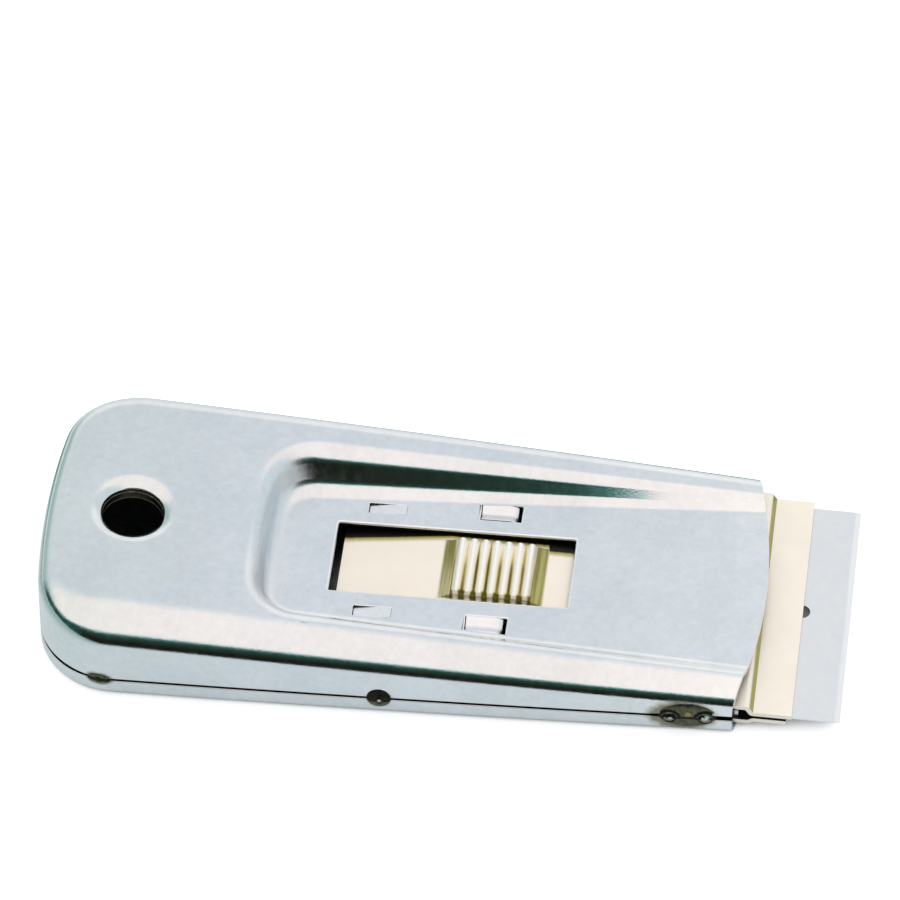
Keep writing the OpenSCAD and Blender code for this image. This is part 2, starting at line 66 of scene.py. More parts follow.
# Thumb recess, its slot and its windows
RECESS_FROM_REAR, RECESS_W, RECESS_R, WALL_ROUND, RIM_SHARE, FLOOR_Z = 27.5, 33.4, 8.5, 0.93, 0.53, 6.05
FLOOR_FRONT_W, FLOOR_REAR_W, FLOOR_R, RIM_ROOM = 27.8, 15.6, 3.0, 0.06
SLOT_L, SLOT_W, SLOT_REAR_MORE, SLOT_FAR_MORE, SLOT_ROLL = 32.2, 12.0, 0.25, 0.4, 0.3
GUIDE_Y = 8.5
TROUGH_L, TROUGH_W, TROUGH_DROP, TROUGH_BEND, TROUGH_FALL, TROUGH_ROLL = 5.6, 2.9, 0.6, 1.3, 0.35, 0.2
TAB_L, TAB_W, TAB_DROP, TAB_GAP, TAB_ROLL = 5.2, 1.8, 0.42, 0.06, 0.1
# Tongue and grip
STRIP, TILT, TAIL_L, TAIL_SLOPE = 0.65, math.radians(1.53862), 14.6, math.tan(math.radians(4.8))
GRIP_L, GRIP_W, RIDGES, GRIP_H, GROOVE = 13.4, 10.4, 7, 1.35, 0.75
RAMP_EARLY, RAMP_BACK, RAMP_FRONT = 0.9, 0.8, 1.6
PITCH = (GRIP_L - RAMP_BACK - RAMP_FRONT) / RIDGES
# Seam welds, and the flare of the seam round the rear corners and at the front weld
MID_WELD, FRONT_WELD = 47.9, 8.9
REAR_FLARE, REAR_FLARE_X, REAR_FLARE_L, FRONT_FLARE_L, FRONT_FLARE_BACK = 0.7, 8.5, 4.0, 1.5, 4.6
CRATER_U, CRATER_R = 2.36, 0.95

REAR_X, FRONT_X = -HANDLE_L / 2, HANDLE_L / 2
HOLE_X = REAR_X + HOLE_FROM_REAR
RECESS_X = REAR_X + RECESS_FROM_REAR
FLOOR_X = RECESS_X + 4.6
SLOT_X = FLOOR_X + 7.3
SLOT_END = SLOT_X + SLOT_L
TROUGH_X = SLOT_X + 18.8
TROUGH_Y = GUIDE_Y + 0.3 + TROUGH_W / 2
TAB_X = SLOT_X + 3.5
TAB_Y = GUIDE_Y + TAB_W / 2
GRIP_END = SLOT_END - 3.5
GRIP_X = GRIP_END - GRIP_L
STEP_X = FRONT_X - 0.2
ROOT_X, ROOT_Z = STEP_X - 12.7, 4.43105
TOP_SLOPE = math.atan((REAR_H - FRONT_H) / HANDLE_L)

SIDE_N, CORNER_N, EDGE_N, SHOULDER_N, BEND_N, FRONT_N = 30, 30, 14, 20, 12, 64
REAR_STATION = SIDE_N + 3
MM = 0.001
UP = Vector((0, 0, 1))
TOP_UP = Vector((math.sin(TOP_SLOPE), 0, math.cos(TOP_SLOPE)))
TOP_ALONG = Vector((math.cos(TOP_SLOPE), 0, -math.sin(TOP_SLOPE)))
TURNS = [2 * math.pi * i / 96 for i in range(96)]


class Form:
    """Faces that carry a normal at each corner. Points are shared where they meet."""

    def __init__(self):
        self.points, self.lookup = [], {}
        self.faces, self.normals, self.slots = [], [], []

    def vertex(self, p):
        key = (round(p[0], 4), round(p[1], 4), round(p[2], 4))
        if key not in self.lookup:
            self.lookup[key] = len(self.points)
            self.points.append(Vector(p))
        return self.lookup[key]

    def face(self, corners, slot=0):
        kept, seen = [], set()
        for p, n in corners:
            i = self.vertex(p)
            if i not in seen:
                seen.add(i)
                kept.append((i, Vector(n)))
        if len(kept) < 3:
            return
        area, want = Vector((0, 0, 0)), Vector((0, 0, 0))
        for (a, n), (b, _) in zip(kept, kept[1:] + kept[:1]):
            area += self.points[a].cross(self.points[b])
            want += n
        if area.dot(want) < 0:
            kept.reverse()
        self.faces.append([i for i, _ in kept])
        self.normals.append([n for _, n in kept])
        self.slots.append(slot)

    def grid(self, rows, slot=0, closed=False):
        for a, b in zip(rows, rows[1:]):
            for i in range(len(a) if closed else len(a) - 1):
                j = (i + 1) % len(a)
                self.face([a[i], a[j], b[j], b[i]], slot)

    def band(self, a, b, slot, normal, closed=False):
        """Faces between two lines of points. The normal is a vector or a function of the point."""
        turned = normal if callable(normal) else lambda p: normal
        self.grid([[(p, turned(p)) for p in line] for line in (a, b)], slot, closed)

    def plate(self, outer, holes, normal, slot=0):
        """Fills the area inside one loop and outside the others, seen from above. A loop's items
        are points, which take the plate's normal, or pairs of point and normal."""
        loops = [[p if isinstance(p[0], (tuple, Vector)) else (p, normal) for p in loop]
                 for loop in [outer] + holes]
        points, edges, source = [], [], []
        for loop in loops:
            base = len(points)
            points += [Vector((p[0], p[1])) for p, _ in loop]
            source += [(Vector(p), n) for p, n in loop]
            edges += [(base + i, base + (i + 1) % len(loop)) for i in range(len(loop))]
        ring, *gaps = [[p for p, _ in loop] for loop in loops]
        made, _, faces, origin, _, _ = delaunay_2d_cdt(points, edges, [], 0, 1e-6)
        for f in faces:
            c = sum((made[i] for i in f), Vector((0, 0))) / len(f)
            if all(origin[i] for i in f) and inside(c, ring) and not any(inside(c, gap) for gap in gaps):
                self.face([source[origin[i][0]] for i in f], slot)

    def build(self, name, materials, body, nodes):
        mesh = bpy.data.meshes.new(name)
        mesh.from_pydata([p * MM for p in self.points], [], self.faces)
        for m in materials:
            mesh.materials.append(m)
        mesh.polygons.foreach_set("material_index", self.slots)
        mesh.polygons.foreach_set("use_smooth", [True] * len(self.faces))
        mesh.update()
        mesh.normals_split_custom_set([n.normalized() for face in self.normals for n in face])
        obj = bpy.data.objects.new(name, mesh)
        bpy.context.scene.collection.objects.link(obj)
        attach(obj, body)
        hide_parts(*nodes)


def inside(c, loop):
    odd = False
    j = len(loop) - 1
    for i in range(len(loop)):
        a, b = loop[i], loop[j]
        if (a[1] > c[1]) != (b[1] > c[1]):
            if c[0] < (b[0] - a[0]) * (c[1] - a[1]) / (b[1] - a[1]) + a[0]:
                odd = not odd
        j = i
    return odd


def spots(row):
    return [p for p, _ in row]


def mix(a, b, share):
    return a + (b - a) * share


def held(t):
    return min(max(t, 0.0), 1.0)


def quarter(n):
    """Cosine and sine at n + 1 steps over a quarter turn."""
    return [(math.cos(math.pi / 2 * k / n), math.sin(math.pi / 2 * k / n)) for k in range(n + 1)]


def along(x):
    return (x - REAR_X) / HANDLE_L


def top_z(x):
    return mix(REAR_H, FRONT_H, along(x))


def flank_y(x, flank):
    return mix(flank[0], flank[1], along(x)) + flank[2] * 4 * along(x) * (1 - along(x))


def bow(y):
    return FRONT_R - math.sqrt(FRONT_R * FRONT_R - y * y)


def outline(back, flank, r, back_r):
    """Stations (x, y, outward x, outward y, share) round a U that opens to the front."""
    cy = flank_y(back + r, flank) - r
    cx = back + back_r - math.sqrt((back_r - r) ** 2 - cy * cy)
    swing = math.asin(cy / (back_r - r))
    end_x = FRONT_X - bow(flank_y(FRONT_X, flank))
    half = []
    for i in range(SIDE_N):
        share = 1 - i / SIDE_N
        x = mix(cx, end_x, share)
        half.append((x, -flank_y(x, flank), 0.0, -1.0, share))
    for i in range(CORNER_N):
        a = -math.pi / 2 - (math.pi / 2 - swing) * i / CORNER_N
        half.append((cx + r * math.cos(a), -cy + r * math.sin(a), math.cos(a), math.sin(a), 0.0))
    for i in range(EDGE_N + 1):
        a = swing * (1 - i / EDGE_N)
        c, s = math.cos(a), math.sin(a)
        half.append((back + back_r - back_r * c, -back_r * s, -c, -s, 0.0))
    return half + [(x, -y, nx, -ny, s) for x, y, nx, ny, s in reversed(half[:-1])]


def inset(s, d):
    y = s[1] - s[3] * d
    return (s[0] - s[2] * d + s[4] * (bow(s[1]) - bow(y)), y)


SEAM = outline(REAR_X, FLANK, CORNER_R, REAR_R)
RIM = outline(RECESS_X, (RECESS_W / 2, RECESS_W / 2, 0), RECESS_R, REAR_R)
FLOOR = outline(FLOOR_X, (FLOOR_REAR_W / 2, FLOOR_FRONT_W / 2, 0), FLOOR_R, REAR_R)


def side_of(s):
    return Vector((s[2], s[3], 0))


def rim_half(x):
    """Half width of the recess's rim at x, 0 behind it."""
    best = 0.0
    for a, b in zip(RIM[:len(RIM) // 2], RIM[1:]):
        lo, hi = sorted((a[0], b[0]))
        if lo <= x <= hi and hi > lo:
            best = max(best, -mix(a[1], b[1], (x - a[0]) / (b[0] - a[0])))
    return best if x < RIM[0][0] else RECESS_W / 2


def shoulder(x, ny):
    """Run and fall of the shoulder's arc where the wall's plan normal has this y."""
    side = (NEAR_RUN, NEAR_FALL) if ny < 0 else (FAR_RUN, FAR_FALL)
    return tuple(mix(REAR_RUN, mix(*ends, along(x)), ny * ny) for ends in side)


def land(x, y):
    """Height and normal of the top between the shoulder and the recess."""
    ny = math.copysign(1.0, y)
    run, fall = shoulder(x, ny)
    d = flank_y(x, FLANK) - abs(y) - LEAN
    if d >= run:
        return top_z(x), TOP_UP
    c = 1 - d / run
    s = math.sqrt(1 - c * c)
    n = Vector((0, ny, 0)) * (c / run) + TOP_UP * (s / fall)
    return top_z(x) - fall * (1 - s), n.normalized()


def half_gap(s):
    """Half the seam's opening, which widens round the rear corners and at the front weld."""
    rear = REAR_FLARE * held((REAR_X + REAR_FLARE_X - s[0]) / REAR_FLARE_L)
    front = held((s[0] - FRONT_X + FRONT_WELD + FRONT_FLARE_BACK) / FRONT_FLARE_L)
    return SEAM_GAP / 2 * (1 + rear + front)


def rolled_edge(up):
    """The rounded edge of a shell at the seam: up is 1 for the upper shell, -1 for the lower."""
    return [[((*inset(at, ROLL * (1 - s)), LOWER_H + up * (half_gap(at) + ROLL * (1 - c))),
              side_of(at) * s - UP * up * c) for at in SEAM] for c, s in quarter(ROLL_N)]


def wall_rows(o, sign):
    """The upper shell's wall and shoulder at depth o, as rows along the seam. The outer skin
    starts with the rolled edge."""
    rows = [] if o else rolled_edge(1)
    start, lean = (0, 0) if o else (ROLL + 0.1, LEAN * 0.03)
    rows.append([((*inset(s, o + lean), LOWER_H + half_gap(s) + start), sign * side_of(s)) for s in SEAM])
    ends = []
    for s in SEAM:
        run, fall = shoulder(s[0], s[3])
        end = math.pi / 2
        if s[4] > 0:
            room = abs(s[1]) - rim_half(s[0]) - LEAN - RIM_ROOM
            if room < run:
                end = math.acos(1 - room / run)
        ends.append((run, fall, end))
    for k in range(SHOULDER_N + 1):
        row = []
        for s, (run, fall, end) in zip(SEAM, ends):
            q = end * k / SHOULDER_N
            c, v = math.cos(q) / run, math.sin(q) / fall
            length = math.hypot(c, v)
            c, v = c / length, v / length
            deep = LEAN + run * (1 - math.cos(q)) + o * c
            if s[4] > 0:
                deep = min(deep, abs(s[1]) - rim_half(s[0]) - RIM_ROOM)
            z = top_z(inset(s, deep)[0]) - fall * (1 - math.sin(q)) - o * v
            row.append(((*inset(s, deep), z), sign * (side_of(s) * c + TOP_UP * v).normalized()))
        rows.append(row)
    return rows


def recess_rows(o, sign):
    """The bend at the rim, the recess's wall and the bend at the floor, at depth o."""
    columns = []
    for b, f in zip(RIM, FLOOR):
        dx, dy = f[0] - b[0], f[1] - b[1]
        run = math.hypot(dx, dy)
        heading = Vector((dx / run, dy / run, 0))
        zb, land_n = land(b[0], b[1])
        drop = zb - FLOOR_Z
        bends = WALL_ROUND * (run * run + drop * drop) / (2 * drop)
        rim_r = bends * RIM_SHARE
        floor_r = bends - rim_r
        span = math.hypot(run, bends - drop)
        a = math.asin(bends / span) - math.atan2(bends - drop, run)
        column = []
        for k in range(BEND_N + 1):
            s, c = math.sin(a * k / BEND_N), math.cos(a * k / BEND_N)
            out = (rim_r - o) * s / run
            n = (heading * s + TOP_UP * c).normalized() if k else land_n
            z = zb - rim_r + (rim_r - o) * c
            column.append(((b[0] + dx * out, b[1] + dy * out, z), sign * n))
        for k in range(BEND_N, -1, -1):
            s, c = math.sin(a * k / BEND_N), math.cos(a * k / BEND_N)
            back = (floor_r + o) * s / run
            z = FLOOR_Z + floor_r - (floor_r + o) * c
            column.append(((f[0] - dx * back, f[1] - dy * back, z), sign * (heading * s + UP * c).normalized()))
        columns.append(column)
    return [[column[k] for column in columns] for k in range(len(columns[0]))]


def front_normal(p):
    return Vector((p[0] - (FRONT_X - FRONT_R), p[1], 0)).normalized()


def front_line(half_y, z):
    """Points along the bowed front edge between its two ends, from +Y to -Y."""
    ys = [half_y * (1 - 2 * i / FRONT_N) for i in range(1, FRONT_N)]
    return [(FRONT_X - bow(y), y, z) for y in ys]


def open_front(form, outer, inner, z_out, z_in):
    """The sheet's edge along the open front, from one end of the seam round to the other."""
    inner = inner[:1] * (len(outer) - len(inner)) + inner
    for end in (0, -1):
        form.band([row[end][0] for row in outer], [row[end][0] for row in inner], CUT, front_normal)
    lines = []
    for rows, z in ((outer, z_out), (inner, z_in)):
        first, last = rows[-1][0][0], rows[-1][-1][0]
        lines.append([last] + front_line(last[1], z) + [first])
    form.band(*lines, CUT, front_normal)


def rounded_box(x0, x1, y0, y1, r, steps):
    loop = []
    for cx, cy, a0 in ((x1 - r, y1 - r, 0), (x0 + r, y1 - r, 90), (x0 + r, y0 + r, 180), (x1 - r, y0 + r, 270)):
        for k in range(steps + 1):
            a = math.radians(a0 + 90 * k / steps)
            loop.append((cx + r * math.cos(a), cy + r * math.sin(a), math.cos(a), math.sin(a)))
    return loop


def cut_ring(form, loop, roll):
    """A rolled edge round a hole in the recess's floor and its sheared side. Gives the loops
    where it meets the floor's upper and lower skins."""
    low = FLOOR_Z - SHEET
    # The rolled edge carries the painted highlight
    form.grid([[((x + nx * roll * (1 - s), y + ny * roll * (1 - s), FLOOR_Z - roll * (1 - c)),
                 UP * c - Vector((nx, ny, 0)) * s) for x, y, nx, ny in loop] for c, s in quarter(ROLL_N)],
              EDGE, closed=True)
    form.grid([[((x, y, z), -Vector((nx, ny, 0))) for x, y, nx, ny in loop] for z in (FLOOR_Z - roll, low)],
              DARK, closed=True)
    above = [(x + nx * roll, y + ny * roll, FLOOR_Z) for x, y, nx, ny in loop]
    return above, [(x, y, low) for x, y, _, _ in loop]


def hole_out(a):
    return TOP_ALONG * math.cos(a) + Vector((0, math.sin(a), 0))


def hole_point(r, depth, a):
    """A point round the hang hole, in the frame of the sloping top."""
    return Vector((HOLE_X, 0, top_z(HOLE_X))) + hole_out(a) * r - TOP_UP * depth


def hole_at(z):
    """The hang hole's round line at the level z."""
    points = [hole_point(HOLE_R, 0, a) for a in TURNS]
    return [p - TOP_UP * ((p.z - z) / TOP_UP.z) for p in points]


# Surface slots of the shells: outer skin, inner skin in painted shade, sheared edge, rolled edge with a painted
# highlight, shaded cut, lance, hole collar in painted shade
SKIN, BACK, CUT, EDGE, DARK, LANCE, COLLAR_WALL = range(7)


def hole_profile():
    """Radius, depth and tilt down the dish and the lip of the hang hole, and down its collar."""
    rows, depth = [], 0.0
    for (r0, t0), (r1, t1) in zip(DISH, DISH[1:]):
        for k in range(DISH_N):
            share = k / DISH_N
            rows.append((mix(r0, r1, share), depth, math.radians(mix(t0, t1, share))))
            depth += (r0 - r1) / DISH_N * math.tan(math.radians(mix(t0, t1, share + 0.5 / DISH_N)))
    r, first = DISH[-1][0], math.radians(DISH[-1][1])
    rows.append((r, depth, first))
    for k in range(1, LIP_N + 1):
        t = mix(first, math.pi / 2, k / LIP_N)
        down = LIP_R * (math.cos(first) - math.cos(t))
        rows.append((r - LIP_R * (math.sin(t) - math.sin(first)), depth + down, t))
    wall = rows[-1][0]
    step = wall - 0.07
    collar = [(wall, 1.32, 90), (wall - 0.02, 1.37, 42), (step, 1.50, 42), (step, 1.56, 90),
              (step, COLLAR - 0.2, 90), (step - 0.01, COLLAR - 0.16, 45), (HOLE_R - 0.07, COLLAR, 45)]
    return rows, [(out, at, math.radians(tilt)) for out, at, tilt in collar]


def make_top_shell(materials):
    form = Form()
    outer_wall, inner_wall = wall_rows(0, 1), wall_rows(SHEET, -1)
    outer_bend, inner_bend = recess_rows(0, 1), recess_rows(SHEET, -1)
    for outer, inner in ((outer_wall, inner_wall), (outer_bend, inner_bend)):
        form.grid(outer, SKIN)
        form.grid(inner, BACK)
    for wall, bend, o, n, slot in ((outer_wall, outer_bend, 0, TOP_UP, SKIN),
                                   (inner_wall, inner_bend, SHEET, -TOP_UP, BACK)):
        border = list(wall[-1]) + list(reversed(bend[0]))
        form.plate(border, [[hole_point(DISH[0][0], o, a) for a in TURNS]], n, slot)
    # Dished and drawn-in edge of the hang hole, and its collar
    rows, collar = hole_profile()
    lip = [[(hole_point(r, depth, a), TOP_UP * math.cos(t) - hole_out(a) * math.sin(t)) for a in TURNS]
           for r, depth, t in rows + collar]
    under = [[(hole_point(r + SHEET * math.sin(t), depth + SHEET * math.cos(t), a),
               hole_out(a) * math.sin(t) - TOP_UP * math.cos(t)) for a in TURNS]
             for r, depth, t in rows + collar[:1]]
    under.append([(hole_point(HOLE_R + SHEET, COLLAR, a), hole_out(a)) for a in TURNS])
    # The lowest rows of the lip and the collar take the painted shade inside the hole
    dark = len(rows) - DARK_LIP_ROWS
    form.grid(lip[:dark + 1], SKIN, closed=True)
    form.grid(lip[dark:], COLLAR_WALL, closed=True)
    form.grid(under, BACK, closed=True)
    form.band(spots(lip[-1]), spots(under[-1]), CUT, -TOP_UP, closed=True)

    # Recess floor with its slot and windows
    slot_box = rounded_box(SLOT_X - SLOT_REAR_MORE, SLOT_END - 0.05,
                           -SLOT_W / 2, SLOT_W / 2 + SLOT_FAR_MORE, 0.22, 5)
    cuts = [(slot_box, SLOT_ROLL)]
    for side in (1, -1):
        for x0, x1, yc, w, roll in ((TROUGH_X, TROUGH_X + TROUGH_L, TROUGH_Y, TROUGH_W, TROUGH_ROLL),
                                    (TAB_X, TAB_X + TAB_L, TAB_Y, TAB_W, TAB_ROLL)):
            cuts.append((rounded_box(x0, x1, side * yc - w / 2, side * yc + w / 2, 0.12, 4), roll))
        make_trough(form, side)
        make_tab(form, side)
    rims, lows = zip(*[cut_ring(form, box, roll) for box, roll in cuts])
    for bend, o, n, openings, slot in ((outer_bend, 0, UP, rims, SKIN), (inner_bend, SHEET, -UP, lows, BACK)):
        edge = spots(bend[-1])
        form.plate(edge + front_line(edge[-1][1], FLOOR_Z - o), list(openings), n, slot)

    # Foot of the wall and the open front edge
    form.band(spots(outer_wall[0]), spots(inner_wall[0]), CUT, -UP)
    open_front(form, outer_wall + outer_bend, inner_wall + inner_bend, FLOOR_Z, FLOOR_Z - SHEET)
    form.build("upper_shell", materials, "handle", ["top_shell"])


def make_trough(form, side):
    """A strip pressed down in its window, joined to the floor along its two long sides."""
    x0, x1 = TROUGH_X + 0.1, TROUGH_X + TROUGH_L - 0.55

    def line(x, o):
        """Points and upward normals across the strip at x, at depth o."""
        late = max(0.0, 1 - (x1 - x) / TROUGH_BEND)
        made = []
        for i in range(25):
            turn = 2 * math.pi * i / 24
            dip = TROUGH_DROP * (1 - math.cos(turn)) / 2 + TROUGH_FALL * late * late
            slope = TROUGH_DROP * math.pi / TROUGH_W * math.sin(turn)
            n = Vector((2 * TROUGH_FALL / TROUGH_BEND * late, side * slope, 1)).normalized()
            made.append(((x, side * (TROUGH_Y + TROUGH_W * (i / 24 - 0.5)), FLOOR_Z - dip - o), n))
        return made

    for o, sign, slot in ((0, 1, LANCE), (SHEET, -1, BACK)):
        form.grid([[(p, sign * n) for p, n in line(mix(x0, x1, j / 20), o)] for j in range(21)], slot)
    for x, nx in ((x0, -1), (x1, 1)):
        form.band(spots(line(x, 0)), spots(line(x, SHEET)), CUT, Vector((nx, 0, 0)))


def make_tab(form, side):
    """A tongue cut free on three sides and bent down towards the rear."""
    y0, y1 = side * (TAB_Y - TAB_W / 2), side * (TAB_Y + TAB_W / 2)
    top, low = [], []
    for j in range(17):
        share = j / 16
        x = mix(TAB_X + TAB_L, TAB_X + TAB_GAP, share)
        dip = TAB_DROP * share * share * (1.6 - 0.6 * share)
        slope = TAB_DROP * (3.2 * share - 1.8 * share * share) / (TAB_L - TAB_GAP)
        n = Vector((-slope, 0, 1)).normalized()
        top.append((x, FLOOR_Z - dip, n))
        low.append((x, FLOOR_Z - dip - SHEET, -n))
    for line, slot in ((top, LANCE), (low, BACK)):
        form.grid([[((x, y, z), n) for y in (y0, y1)] for x, z, n in line], slot)
    for y, ny in ((y0, -side), (y1, side)):
        form.band(*[[(x, y, z) for x, z, _ in line] for line in (top, low)], CUT, Vector((0, ny, 0)))
    end = [[(line[-1][0], y, line[-1][1]) for y in (y0, y1)] for line in (top, low)]
    form.band(*end, CUT, Vector((-1, 0, 0)))


def make_bottom_shell(materials):
    form = Form()

    def foot_rows(o, sign):
        """The bend from the wall to the flat underside, at depth o."""
        r = FOOT_R - o
        return [[((*inset(at, FOOT_R - r * c), FOOT_R - r * s), sign * (side_of(at) * c - UP * s)) for at in SEAM]
                for c, s in quarter(8)]

    outer = rolled_edge(-1) + foot_rows(0, 1)
    inner = [[((*inset(s, SHEET), LOWER_H - half_gap(s)), -side_of(s)) for s in SEAM]] + foot_rows(SHEET, -1)
    for skin, z, n, slot in ((outer, 0, -UP, SKIN), (inner, SHEET, UP, BACK)):
        form.grid(skin, slot)
        edge = spots(skin[-1])
        form.plate(edge + front_line(edge[-1][1], z), [hole_at(z)], n, slot)
    form.grid([[(p, -hole_out(a)) for p, a in zip(hole_at(z), TURNS)] for z in (0, SHEET)], CUT, closed=True)
    form.band(spots(outer[0]), spots(inner[0]), DARK, UP)
    open_front(form, outer, inner, 0, SHEET)
    form.build("lower_shell", materials, "handle", ["bottom_shell"])


def tilted(x, y, z):
    """From the carriage's own level frame, whose height 0 is the tongue's top, to the handle's."""
    dx, c, s = x - ROOT_X, math.cos(TILT), math.sin(TILT)
    return (ROOT_X + dx * c + z * s, y, ROOT_Z - dx * s + z * c)


def tilt_normal(n):
    c, s = math.cos(TILT), math.sin(TILT)
    return Vector((n[0] * c + n[2] * s, n[1], -n[0] * s + n[2] * c))


def ridge_height(x):
    """Height of the ridges and their ramps along the middle of the grip."""
    u = x - GRIP_X
    if u <= -RAMP_EARLY or u >= GRIP_L:
        return 0.0
    low = GRIP_H - GROOVE
    if RAMP_BACK <= u <= GRIP_L - RAMP_FRONT:
        wave = 0.5 - 0.5 * math.cos(2 * math.pi * (u - RAMP_BACK) / PITCH)
        return low + GROOVE * wave ** 0.6
    t = held((u + RAMP_EARLY) / (RAMP_BACK + RAMP_EARLY) if u < RAMP_BACK else (GRIP_L - u) / RAMP_FRONT)
    return low * t * t * (3 - 2 * t)


def grip_height(x, y):
    """The drawn form falls off steeply at both ends of the ridges, a little later on their tops."""
    base = ridge_height(x)
    end = GRIP_W / 2 - abs(y)
    if base <= 0 or end <= 0:
        return 0.0
    t = held(end / (0.3 + 0.25 * base / GRIP_H))
    return base * math.sqrt(1 - (1 - t) ** 2)


def make_tongue(materials):
    """Flat strip with a drawn grip: rounded ridges across it, closed at both ends."""
    form = Form()
    half, edge, ends = GUIDE_Y - 0.3, GRIP_W / 2, 0.9
    tail = TAIL_L - RAMP_EARLY
    xs = [GRIP_X - TAIL_L + tail * i / 12 for i in range(12)]
    xs += [GRIP_X - RAMP_EARLY * (1 - i / 12) for i in range(12)]
    xs += [GRIP_X + GRIP_L * i / 200 for i in range(201)]
    xs += [mix(GRIP_END, ROOT_X - 0.3, i / 6) for i in range(1, 7)]
    ys = [half, edge + 0.6, edge + 0.25, edge + 0.02]
    ys += [edge - ends * (i / 14) ** 1.6 for i in range(1, 15)]
    ys += [mix(edge - ends, 0, i / 8) for i in range(1, 9)]
    ys = sorted([-y for y in ys] + ys[:-1])

    d = 0.02
    top, low = [], []
    for x in xs:
        row, under = [], []
        slope = TAIL_SLOPE if x < GRIP_X - 0.01 else 0.0
        for y in ys:
            h = grip_height(x, y) - max(GRIP_X - x, 0.0) * TAIL_SLOPE
            gx = (grip_height(x + d, y) - grip_height(x - d, y)) / (2 * d)
            gy = (grip_height(x, y + d) - grip_height(x, y - d)) / (2 * d)
            normal = tilt_normal(Vector((-gx - slope, -gy, 1)).normalized())
            row.append((tilted(x, y, h), normal))
            under.append((tilted(x, y, h - STRIP), -normal))
        top.append(row)
        low.append(under)
    form.grid(top, 0)
    form.grid(low, 0)
    for end, n in ((0, -1), (-1, 1)):
        form.band(spots(top[end]), spots(low[end]), 1, tilt_normal((n, 0, 0)))
        form.band(*[[row[end][0] for row in skin] for skin in (top, low)], 1, Vector((0, n, 0)))
    form.build("tongue_and_grip", materials, "thumb_tongue", ["thumb_tongue"])


def seam_frame(x):
    """Origin on the right seam at x, with axes along it and out of the wall."""
    y, d = flank_y(x, FLANK), 0.01
    slope = (flank_y(x + d, FLANK) - y) / d
    return Vector((x, -y, LOWER_H)), Vector((1, -slope, 0)).normalized(), Vector((-slope, -1, 0)).normalized()


def corner_frame(s):
    """The same at a station of the rear corner."""
    out = side_of(s)
    return Vector((s[0], s[1], LOWER_H)), Vector((-out.y, out.x, 0)), out


# Surface slots of the welds: melted metal, burnt metal, bright bead, brown speck
PAD, BURNT, BEAD, BROWN = range(4)


def make_weld(name, node, side, place, half_l, half_h, height, lift, marks, seam):
    """A thin pad of melted metal on the seam, with craters given by height(u, v). Each mark is a
    ring of another surface: its centre u and v, inner and outer radius, lowest v and slot."""
    form = Form()
    centre, axis, out = place
    rings, steps, d = 34, 84, 0.01
    run, fall = shoulder(centre.x, -1.0)
    shoulder_z = top_z(centre.x) - fall
    want = Vector((out.x, out.y * side, 0))

    def at(u, v):
        turn = held((centre.z + lift + v - shoulder_z) / fall)
        skin = run * (1 - math.sqrt(1 - turn * turn))
        p = centre + axis * u + UP * (lift + v) + out * (height(u, v) - skin - 0.05)
        return Vector((p.x, p.y * side, p.z))

    rows = []
    for k in range(rings + 1):
        row = []
        for i in range(steps):
            a = 2 * math.pi * i / steps
            u, v = half_l * k / rings * math.cos(a), half_h * k / rings * math.sin(a)
            n = (at(u + d, v) - at(u - d, v)).cross(at(u, v + d) - at(u, v - d))
            row.append((at(u, v), (-n if n.dot(want) < 0 else n).normalized()))
        rows.append(row)
    form.grid(rows, PAD, closed=True)
    for i, face in enumerate(form.faces):
        c = sum((form.points[j] for j in face), Vector((0, 0, 0))) / len(face)
        q = Vector((c.x, c.y * side, c.z)) - centre
        for u, v, near, far, low, slot in marks:
            if near <= math.hypot(q.dot(axis) - u, q.z - lift - v) < far and q.z - lift - v > low:
                form.slots[i] = slot
        if abs(q.z) < seam and form.slots[i] == PAD:
            form.slots[i] = BURNT
    form.grid([rows[-1], [(Vector(p) - want * 0.4, n) for p, n in rows[-1]]], PAD, closed=True)
    form.build(name, WELD, "handle", [node])


def dome(u, v, a, b, height, power):
    """Height of a rounded pad with half axes a and b."""
    inner = 1 - (u / a) ** 2 - (v / b) ** 2
    return height * inner ** power if inner > 0 else 0.0


def crater(u, v, cu, cv, r):
    """A ring crater with a shiny bead in its middle."""
    q = math.hypot(u - cu, v - cv) / r
    bead = 0.2 * math.exp(-((q / 0.42) ** 2))
    moat = -0.22 * math.exp(-(((q - 0.72) / 0.2) ** 2))
    rim = 0.1 * math.exp(-(((q - 1.12) / 0.2) ** 2))
    return bead + moat + rim


def front_height(u, v):
    pad = dome(u, v, 3.5 if u > 0 else 3.8, 2.15, 0.26, 0.6)
    return pad + crater(u, v, -CRATER_U, -0.3, CRATER_R) + crater(u, v, CRATER_U, -0.3, CRATER_R)


def middle_height(u, v):
    return dome(u, v, 1.7, 1.7, 0.3, 0.6) + 0.5 * crater(u, v, 0.1, -0.15, 0.8)


def rear_height(u, v):
    return dome(u, v, 1.6, 0.95, 0.24, 0.7)


# ---------------------------------------------------------------- materials


